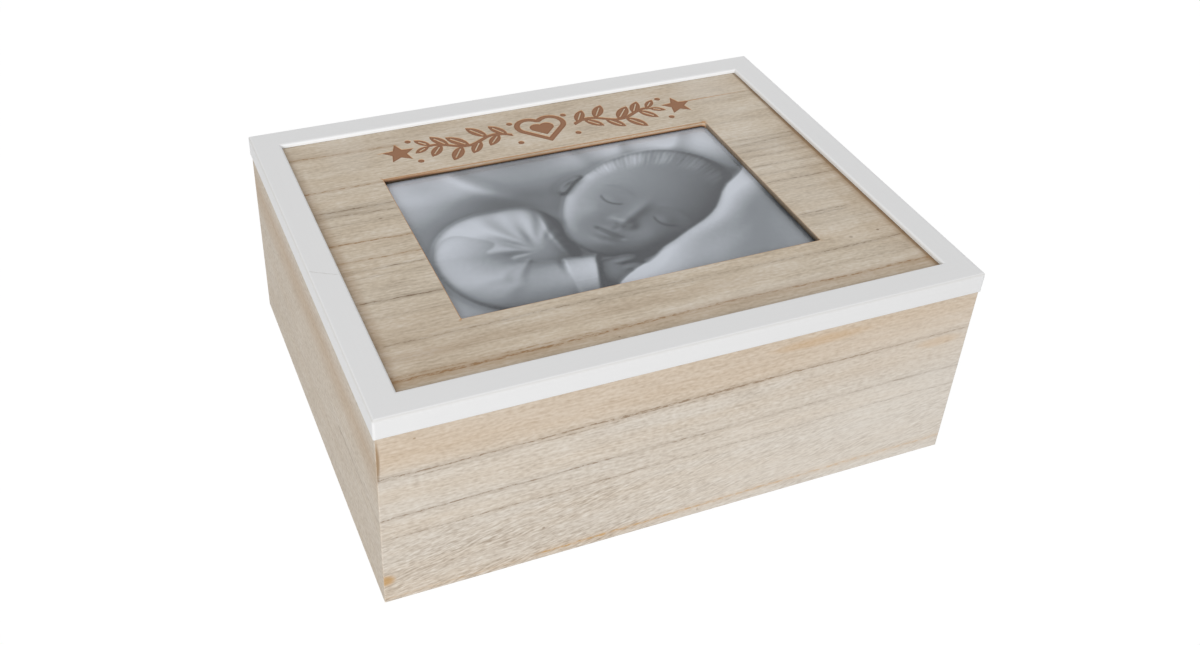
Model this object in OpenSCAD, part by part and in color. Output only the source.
// Keepsake box: mitred wooden box, framed lid with a photo window, two butt hinges.
// Millimetres. +Z is up, +X runs along the long side, the hinges are at +Y.
// The origin is the middle of the base, on the surface that the box stands on.

/* [Lid frame] */
// Length of the lid along X
lid_w = 240; // [225:1:300]
// Depth of the lid along Y
lid_d = 190; // [180:1:260]
// Thickness of the lid frame
lid_t = 8.7; // [8.2:0.1:14]
// Width of each frame rail
rail_w = 11.6; // [10:0.1:16]
// Radius of the frame's rounded arrises
rail_r = 1; // [0.4:0.1:1.4]

/* [Lid panel] */
// Drop from the top of the frame to the face of the panel
panel_drop = 2; // [1.6:0.1:2.5]
// Thickness of the panel
panel_t = 2.4; // [1.2:0.1:2.6]
// How far the panel runs into the groove of each rail
groove_d = 3.2; // [2:0.1:5]
// Shadow gap between the panel and the lip above it
groove_gap = 0.2; // [0.1:0.05:0.4]

/* [Photo window] */
// Length of the window
window_w = 146.8; // [140:0.1:149]
// Depth of the window
window_d = 96.5; // [90:0.1:98]
// Offset of the window along X
window_x = -1.5; // [-6:0.1:6]
// Offset of the window along Y
window_y = -3.5; // [-8:0.1:3]
// Radius of three of the window's corners
window_r = 0.6; // [0.2:0.1:2]
// Radius of its back right corner, where the cut starts and ends
window_end_r = 1.6; // [0.2:0.1:3]

/* [Picture pocket] */
// Length of the photo print, 6 in
print_w = 152.4; // [151:0.1:153]
// Depth of the photo print, 4 in
print_d = 101.6; // [101:0.1:102]
// Thickness of the photo print
print_t = 0.25; // [0.2:0.05:0.4]
// Thickness of the clear pane
pane_t = 0.6; // [0.5:0.1:1]
// Thickness of the backing board
backing_t = 1.6; // [1.5:0.1:2.2]
// Play between the print and each side of its pocket
pocket_play = 0.5; // [0.3:0.1:1]

/* [Box] */
// Height of the walls
wall_h = 80.3; // [60:0.1:140]
// Thickness of the walls
wall_t = 8; // [7.5:0.1:10]
// How far the lid overhangs the walls all round
overhang = 0.6; // [0.3:0.1:1]
// Radius of the walls' outer arrises
wall_r = 0.5; // [0.2:0.1:1]
// Gap between the walls and the closed lid
lid_gap = 0.2; // [0.1:0.05:0.4]
// Thickness of the bottom panel
bottom_t = 3; // [2:0.1:5]
// How far the bottom panel runs under the walls
bottom_rebate = 4; // [2:0.1:6]

/* [Hinges] */
// Distance of each hinge from the middle of the box
hinge_x = 70; // [40:1:85]
// Length of the hinge barrel
hinge_len = 25; // [20:1:40]
// Depth of each leaf's seat in the wood
leaf_d = 6.6; // [6:0.1:7]
// Thickness of the leaves
leaf_t = 0.8; // [0.6:0.1:1]
// Diameter of the hinge pin
pin_d = 1.6; // [1.2:0.1:1.8]
// Number of knuckles, an odd number
knuckles = 5; // [3:2:7]
// Radial running clearance of the pin in the lid leaf
pin_play = 0.06; // [0.03:0.01:0.09]

/* [Turn buttons] */
// Distance between the two ends' centres of a turn button
button_c = 11; // [9:0.5:14]
// Width of a turn button
button_w = 7; // [6:0.5:9]
// Thickness of a turn button
button_t = 0.8; // [0.6:0.1:0.9]
// Distance of each turn button from the window's middle along X
button_x = 46; // [20:1:60]
// Distance of a turn button's screw from the pocket's edge
button_edge = 5.5; // [4:0.5:8]

/* [Hidden] */
$fn = 64;

// Wood, paint and metal as the photograph shows them
paulownia = [0.78, 0.70, 0.60];
paulownia_pale = [0.82, 0.75, 0.67];
white_paint = [0.92, 0.92, 0.92];
panel_wood = [0.70, 0.61, 0.50];
hardboard = [0.45, 0.32, 0.22];
print_grey = [0.62, 0.64, 0.67];
brass = [0.78, 0.64, 0.33];
steel = [0.72, 0.72, 0.70];

// A cut always runs this far past the face that it opens
eps = 0.1;

// Heights
lid_z = wall_h + lid_gap;
lid_top = lid_z + lid_t;
panel_top = lid_top - panel_drop;
panel_z = panel_top - panel_t;
pane_z = panel_z - pane_t;
print_z = pane_z - print_t;
backing_z = print_z - backing_t;

// Plan sizes
box_w = lid_w - 2 * overhang;
box_d = lid_d - 2 * overhang;
opening_w = lid_w - 2 * rail_w;
opening_d = lid_d - 2 * rail_w;
panel_w = opening_w + 2 * groove_d;
panel_d = opening_d + 2 * groove_d;
groove_end = 0.4;
carrier_play = 0.2;
carrier_w = opening_w - 2 * carrier_play;
carrier_d = opening_d - 2 * carrier_play;
pocket_w = print_w + 2 * pocket_play;
pocket_d = print_d + 2 * pocket_play;
pocket_slip = 0.2;
bottom_play = 0.2;

// Hinges: the pin's axis lies in the gap, just behind the lid
barrel_r = pin_d / 2 + leaf_t;
barrel_clear = 0.1;
pin_y = lid_d / 2 + barrel_clear + barrel_r;
pin_z = wall_h + lid_gap / 2;
knuckle_gap = 0.16;
knuckle_len = hinge_len / knuckles;
leaf_relief = 0.3;
leaf_corner_r = 1.2;
seam = 0.12;
leaf_seat_play = 0.1;
pin_head_r = 1.2;
pin_head_h = 0.5;
screw_spread = 7;
screw_back = 3.4;
screw_r = 1;
screw_head_r = 1.9;
screw_len = 6;
screw_slot_w = 0.5;

// Turn buttons: the play keeps each button free on its screw
button_play = 0.1;
button_bore_play = 0.08;
button_z = backing_z - button_play - button_t;
button_screw_r = 1.1;
button_head_r = 2.3;
button_head_h = 0.75;
button_screw_grip = panel_z - backing_z - 0.3;

// ---------- shapes shared by the pieces ----------

// What a round arris takes off the corner at the origin; the corner's body is at +x, +y
module arris(r) {
    difference() {
        translate([-eps, -eps]) square(r + eps);
        translate([r, r]) circle(r);
    }
}

// Takes the four upright arrises off a w by d frame
module upright_arrises(w, d, r, h) {
    translate([0, 0, -eps])
        linear_extrude(h + 2 * eps)
            for (sx = [-1, 1], sy = [-1, 1])
                scale_xy(sx, sy) translate([-w / 2, -d / 2]) arris(r);
}

// Mirrors its children about the Y axis, the X axis or both
module scale_xy(sx, sy) {
    mirror([sx < 0 ? 1 : 0, 0]) mirror([0, sy < 0 ? 1 : 0]) children();
}

// The front one of four sides mitred into a w by d frame. The child is its cross-section:
// x runs inwards from the outer face, y runs upwards.
module mitred_side(w, d, t, h) {
    intersection() {
        translate([0, 0, -eps])
            linear_extrude(h + 2 * eps)
                polygon([[-w / 2, -d / 2], [w / 2, -d / 2],
                         [w / 2 - t, t - d / 2], [t - w / 2, t - d / 2]]);
        translate([-w / 2, -d / 2, 0])
            rotate([90, 0, 90])
                linear_extrude(w) children();
    }
}

// Puts the front side's geometry on the side that faces front, right, back or left
module on_side(quarter) {
    rotate([0, 0, 90 * quarter]) children();
}

// ---------- the box ----------

// Cross-section of a wall: the bottom panel's rebate is at its inner foot
module wall_section() {
    difference() {
        square([wall_t, wall_h]);
        translate([wall_t - bottom_rebate, -eps])
            square([bottom_rebate + eps, bottom_t + eps]);
        arris(wall_r);
    }
}

module wall(quarter) {
    w = quarter % 2 == 0 ? box_w : box_d;
    d = quarter % 2 == 0 ? box_d : box_w;
    on_side(quarter)
        difference() {
            mitred_side(w, d, wall_t, wall_h) wall_section();
            upright_arrises(w, d, wall_r, wall_h);
        }
}

// The seats of both box leaves, open at the back and the top
module box_leaf_seats() {
    for (side = [-1, 1])
        translate([side * hinge_x - hinge_len / 2 - leaf_seat_play,
                   box_d / 2 - leaf_d, pin_z - barrel_r])
            cube([hinge_len + 2 * leaf_seat_play, leaf_d + eps, barrel_r + eps]);
}

module front_board() {
    color(paulownia_pale) wall(0);
}

module back_board() {
    color(paulownia_pale)
        difference() {
            wall(2);
            box_leaf_seats();
            hinge_screw_set(-1);
        }
}

module left_board() {
    color(paulownia) wall(3);
}

module right_board() {
    color(paulownia) wall(1);
}

module bottom_panel() {
    inset = wall_t - bottom_rebate + bottom_play;
    color(paulownia)
        translate([inset - box_w / 2, inset - box_d / 2, 0])
            cube([box_w - 2 * inset, box_d - 2 * inset, bottom_t]);
}

// ---------- the lid ----------

// Cross-section of a rail: three round arrises and the panel's groove
module rail_section() {
    difference() {
        square([rail_w, lid_t]);
        arris(rail_r / 2);
        translate([0, lid_t]) mirror([0, 1]) arris(rail_r);
        translate([rail_w, lid_t]) rotate(180) arris(rail_r);
        translate([rail_w - groove_d - groove_end, panel_z - lid_z])
            square([groove_d + groove_end + eps, panel_t + groove_gap]);
    }
}

module rail(quarter) {
    w = quarter % 2 == 0 ? lid_w : lid_d;
    d = quarter % 2 == 0 ? lid_d : lid_w;
    translate([0, 0, lid_z])
        on_side(quarter)
            difference() {
                mitred_side(w, d, rail_w, lid_t) rail_section();
                upright_arrises(w, d, rail_r, lid_t);
            }
}

// The seats of both lid leaves, open at the back and below
module lid_leaf_seats() {
    for (side = [-1, 1])
        translate([side * hinge_x - hinge_len / 2 - leaf_seat_play,
                   lid_d / 2 - leaf_d, lid_z - eps])
            cube([hinge_len + 2 * leaf_seat_play, leaf_d + eps,
                  pin_z + barrel_r - lid_z + eps]);
}

module front_rail() {
    color(white_paint) rail(0);
}

module back_rail() {
    color(white_paint)
        difference() {
            rail(2);
            lid_leaf_seats();
            hinge_screw_set(1);
        }
}

module left_rail() {
    color(white_paint) rail(3);
}

module right_rail() {
    color(white_paint) rail(1);
}

// Outline of the window, cut by a laser
module window_outline() {
    difference() {
        square([window_w, window_d], center = true);
        for (sx = [-1, 1], sy = [-1, 1])
            scale_xy(sx, sy)
                translate([-window_w / 2, -window_d / 2])
                    arris(sx < 0 && sy < 0 ? window_end_r : window_r);
    }
}

module top_panel() {
    color(panel_wood)
        translate([0, 0, panel_z])
            linear_extrude(panel_t)
                difference() {
                    square([panel_w, panel_d], center = true);
                    translate([window_x, window_y]) window_outline();
                }
}

// The board glued under the panel; its opening is the pocket for the print
module carrier_board() {
    color(panel_wood)
        difference() {
            translate([0, 0, backing_z])
                linear_extrude(panel_z - backing_z)
                    difference() {
                        square([carrier_w, carrier_d], center = true);
                        translate([window_x, window_y])
                            square([pocket_w, pocket_d], center = true);
                    }
            button_screw_set();
        }
}

// A sheet lying in the pocket
module pocket_sheet(w, d, z, t) {
    translate([window_x - w / 2, window_y - d / 2, z]) cube([w, d, t]);
}

module clear_pane() {
    color("lightcyan", 0.35)
        pocket_sheet(pocket_w - 2 * pocket_slip, pocket_d - 2 * pocket_slip, pane_z, pane_t);
}

module photo_print() {
    color(print_grey) pocket_sheet(print_w, print_d, print_z, print_t);
}

module backing_board() {
    color(hardboard)
        pocket_sheet(pocket_w - 2 * pocket_slip, pocket_d - 2 * pocket_slip,
                     backing_z, backing_t);
}

// ---------- turn buttons ----------

// Moves its children to a turn button's screw; the button's tip then points to -y
module at_button(side_x, side_y) {
    translate([window_x + side_x * button_x,
               window_y + side_y * (pocket_d / 2 + button_edge), button_z])
        rotate([0, 0, side_y > 0 ? 0 : 180]) children();
}

module turn_button(side_x, side_y) {
    color(brass)
        at_button(side_x, side_y)
            linear_extrude(button_t)
                difference() {
                    union() {
                        circle(d = button_w);
                        translate([0, -button_c]) circle(d = button_w);
                        translate([-button_w / 2, -button_c]) square([button_w, button_c]);
                    }
                    circle(button_screw_r + button_bore_play);
                }
}

// Round-headed screw: the head hangs below the button and the shank runs up into the board
module button_screw() {
    shank = button_play + button_t + button_play + button_screw_grip;
    difference() {
        translate([0, 0, -button_play])
            rotate_extrude()
                union() {
                    square([button_screw_r, shank]);
                    intersection() {
                        scale_dome(button_head_r, button_head_h);
                        translate([0, -button_head_h]) square([button_head_r, button_head_h]);
                    }
                }
        translate([-button_head_r - eps, -screw_slot_w / 2, -button_play - button_head_h - eps])
            cube([2 * (button_head_r + eps), screw_slot_w, eps + button_head_h / 2]);
    }
}

// The round cap of a dome of radius r and height h that sits on y = 0 and hangs down
module scale_dome(r, h) {
    cap_r = (r * r + h * h) / (2 * h);
    translate([0, cap_r - h]) circle(cap_r);
}

module button_screw_set() {
    for (side_x = [-1, 1], side_y = [-1, 1]) at_button(side_x, side_y) button_screw();
}

module turn_button_front_left() {
    turn_button(-1, -1);
}

module turn_button_front_right() {
    turn_button(1, -1);
}

module turn_button_back_left() {
    turn_button(-1, 1);
}

module turn_button_back_right() {
    turn_button(1, 1);
}

module turn_button_screws() {
    color(steel) button_screw_set();
}

// ---------- hinges ----------

// Cross-section of a rolled knuckle and its tongue: x runs to the back, y up.
// The leaf is rolled round the pin and ends at a seam under the tongue.
module knuckle_section(bore_r, tongue) {
    difference() {
        union() {
            circle(barrel_r);
            translate([-tongue, barrel_r - leaf_t]) square([tongue, leaf_t]);
        }
        circle(bore_r);
        translate([-barrel_r - eps, barrel_r - leaf_t - seam])
            square([barrel_r + eps - bore_r / 4, seam]);
    }
}

// The knuckles first, first + 2, ... of a leaf whose plate lies above the pin
module leaf_knuckles(first, bore_r, tongue) {
    for (i = [first : 2 : knuckles - 1])
        translate([i * knuckle_len - hinge_len / 2 + knuckle_gap / 2, 0, 0])
            rotate([90, 0, 90])
                linear_extrude(knuckle_len - knuckle_gap) knuckle_section(bore_r, tongue);
}

// A leaf above the pin: back_gap is the distance from the pin to the wood's back face
module hinge_leaf(first, bore_r, back_gap) {
    plate_y = -back_gap - leaf_d;
    plate_d = leaf_d + back_gap - barrel_r - leaf_relief;
    difference() {
        union() {
            leaf_knuckles(first, bore_r, barrel_r + leaf_relief + eps);
            translate([0, plate_y, barrel_r - leaf_t])
                linear_extrude(leaf_t)
                    difference() {
                        translate([-hinge_len / 2, 0]) square([hinge_len, plate_d]);
                        for (sx = [-1, 1])
                            scale_xy(sx, 1) translate([-hinge_len / 2, 0]) arris(leaf_corner_r);
                    }
        }
        for (sx = [-1, 1]) translate([sx * screw_spread, -back_gap - screw_back, 0]) leaf_screw();
    }
}

// Countersunk screw that runs up from the leaf's inner face
module leaf_screw() {
    head_h = leaf_t - 0.1;
    translate([0, 0, barrel_r - leaf_t])
        rotate_extrude()
            polygon([[0, 0], [screw_head_r, 0], [screw_r, head_h], [screw_r, screw_len - 1.5],
                     [0, screw_len]]);
}

module slotted_leaf_screw() {
    difference() {
        leaf_screw();
        translate([-screw_head_r - eps, -screw_slot_w / 2, barrel_r - leaf_t - eps])
            cube([2 * (screw_head_r + eps), screw_slot_w, eps + leaf_t / 3]);
    }
}

// Puts a leaf's geometry on the lid (half = 1) or turns it over on the box (half = -1)
module at_hinge(side, half) {
    translate([side * hinge_x, pin_y, pin_z])
        mirror([0, 0, half < 0 ? 1 : 0]) children();
}

function back_gap(half) = pin_y - (half > 0 ? lid_d : box_d) / 2;

module hinge_screw_set(half) {
    for (side = [-1, 1], sx = [-1, 1])
        at_hinge(side, half)
            translate([sx * screw_spread, -back_gap(half) - screw_back, 0]) leaf_screw();
}

module hinge_screws(half) {
    color(brass)
        for (side = [-1, 1], sx = [-1, 1])
            at_hinge(side, half)
                translate([sx * screw_spread, -back_gap(half) - screw_back, 0])
                    slotted_leaf_screw();
}

module box_leaf(side) {
    color(brass) at_hinge(side, -1) hinge_leaf(0, pin_d / 2, back_gap(-1));
}

module lid_leaf(side) {
    color(brass) at_hinge(side, 1) hinge_leaf(1, pin_d / 2 + pin_play, back_gap(1));
}

// The pin runs through every knuckle and is riveted over at both ends
module hinge_pin(side) {
    color(brass)
        at_hinge(side, 1)
            rotate([0, 90, 0])
                rotate_extrude() pin_section();
}

// Half of the pin's outline, with a chamfered head past each end of the barrel
module pin_section() {
    end = (hinge_len - knuckle_gap) / 2;
    shaft_r = pin_d / 2;
    bevel = pin_head_h / 2;
    polygon([[0, -end - pin_head_h], [pin_head_r - bevel, -end - pin_head_h],
             [pin_head_r, -end - bevel], [pin_head_r, -end], [shaft_r, -end],
             [shaft_r, end], [pin_head_r, end], [pin_head_r, end + bevel],
             [pin_head_r - bevel, end + pin_head_h], [0, end + pin_head_h]]);
}

module hinge_left_box_leaf() {
    box_leaf(-1);
}

module hinge_left_lid_leaf() {
    lid_leaf(-1);
}

module hinge_left_pin() {
    hinge_pin(-1);
}

module hinge_right_box_leaf() {
    box_leaf(1);
}

module hinge_right_lid_leaf() {
    lid_leaf(1);
}

module hinge_right_pin() {
    hinge_pin(1);
}

module hinge_screws_box() {
    hinge_screws(-1);
}

module hinge_screws_lid() {
    hinge_screws(1);
}

front_board();
back_board();
left_board();
right_board();
bottom_panel();
front_rail();
back_rail();
left_rail();
right_rail();
top_panel();
carrier_board();
clear_pane();
photo_print();
backing_board();
turn_button_front_left();
turn_button_front_right();
turn_button_back_left();
turn_button_back_right();
turn_button_screws();
hinge_left_box_leaf();
hinge_left_lid_leaf();
hinge_left_pin();
hinge_right_box_leaf();
hinge_right_lid_leaf();
hinge_right_pin();
hinge_screws_box();
hinge_screws_lid();
